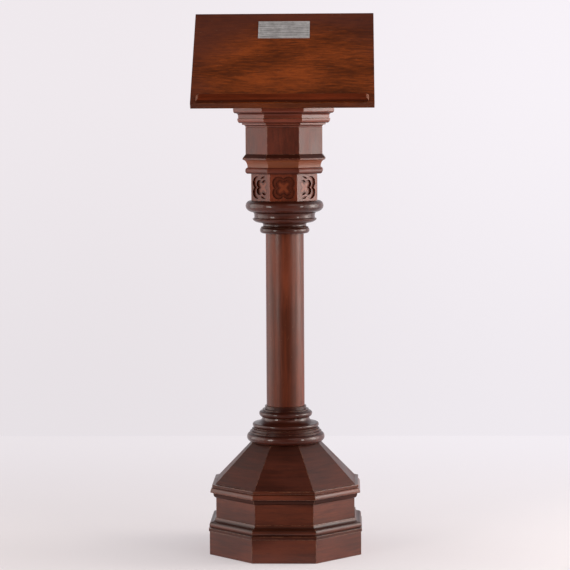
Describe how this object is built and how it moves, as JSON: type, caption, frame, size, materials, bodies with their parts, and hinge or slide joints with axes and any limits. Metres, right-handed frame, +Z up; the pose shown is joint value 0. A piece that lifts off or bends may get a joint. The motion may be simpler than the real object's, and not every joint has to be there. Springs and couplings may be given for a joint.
{
  "type": "lectern",
  "caption": "Standing wooden lectern with a stepped octagonal base, turned column, carved octagonal capital and a sloping reading desk with a book ledge.",
  "frame": {"origin": "centre of the plinth on the floor, under the column's axis", "axes": "+Z up along the column, the reader stands at -Y and the desk rises towards +Y"},
  "size_m": [0.443, 0.378, 1.333],
  "materials": {
    "plinth_wood": "stained and polished hardwood, semi-gloss, worn at the edges",
    "carcass_wood": "stained and polished hardwood, semi-gloss, worn at the edges",
    "slope_wood": "stained and polished hardwood, semi-gloss, worn at the edges",
    "base_disc_wood": "stained and polished hardwood, semi-gloss, worn at the edges",
    "shaft_wood": "stained and polished hardwood, semi-gloss, worn at the edges",
    "capital_disc_wood": "stained and polished hardwood, semi-gloss, worn at the edges",
    "carved_wood": "stained and polished hardwood, semi-gloss, worn at the edges",
    "drum_wood": "stained and polished hardwood, semi-gloss, worn at the edges",
    "cornice_wood": "stained and polished hardwood, semi-gloss, worn at the edges",
    "desk_box_wood": "stained and polished hardwood, semi-gloss, worn at the edges",
    "desk_board_wood": "stained and polished hardwood, semi-gloss, worn at the edges",
    "ledge_wood": "stained and polished hardwood, semi-gloss, worn at the edges",
    "plaque_metal": "thin plate, dulled and patinated"
  },
  "bodies": {
    "root": {"plinth_board_1": "plinth_wood", "plinth_board_2": "plinth_wood", "plinth_board_3": "plinth_wood", "plinth_board_4": "plinth_wood", "plinth_board_5": "plinth_wood", "plinth_board_6": "plinth_wood", "plinth_board_7": "plinth_wood", "plinth_board_8": "plinth_wood", "plinth_moulding_1": "plinth_wood", "plinth_moulding_2": "plinth_wood", "plinth_moulding_3": "plinth_wood", "plinth_moulding_4": "plinth_wood", "plinth_moulding_5": "plinth_wood", "plinth_moulding_6": "plinth_wood", "plinth_moulding_7": "plinth_wood", "plinth_moulding_8": "plinth_wood", "carcass_board_1": "carcass_wood", "carcass_board_2": "carcass_wood", "carcass_board_3": "carcass_wood", "carcass_board_4": "carcass_wood", "carcass_board_5": "carcass_wood", "carcass_board_6": "carcass_wood", "carcass_board_7": "carcass_wood", "carcass_board_8": "carcass_wood", "waist_moulding_1": "carcass_wood", "waist_moulding_2": "carcass_wood", "waist_moulding_3": "carcass_wood", "waist_moulding_4": "carcass_wood", "waist_moulding_5": "carcass_wood", "waist_moulding_6": "carcass_wood", "waist_moulding_7": "carcass_wood", "waist_moulding_8": "carcass_wood", "slope_board_1": "slope_wood", "slope_board_2": "slope_wood", "slope_board_3": "slope_wood", "slope_board_4": "slope_wood", "slope_board_5": "slope_wood", "slope_board_6": "slope_wood", "slope_board_7": "slope_wood", "slope_board_8": "slope_wood", "cap_block": "slope_wood", "column_base_lower": "base_disc_wood", "column_base_middle": "base_disc_wood", "column_base_upper": "base_disc_wood", "shaft": "shaft_wood", "neck_ring": "capital_disc_wood", "capital_disc": "capital_disc_wood", "capital_torus": "capital_disc_wood", "carved_drum": "carved_wood", "band_course": "drum_wood", "upper_drum": "drum_wood", "cornice_lower": "cornice_wood", "cornice_upper": "cornice_wood", "desk_cheek_left": "desk_box_wood", "desk_cheek_right": "desk_box_wood", "desk_front_rail": "desk_box_wood", "desk_back_board": "desk_box_wood", "desk_board": "desk_board_wood", "book_ledge": "ledge_wood", "plaque": "plaque_metal"}
  },
  "joints": []
}
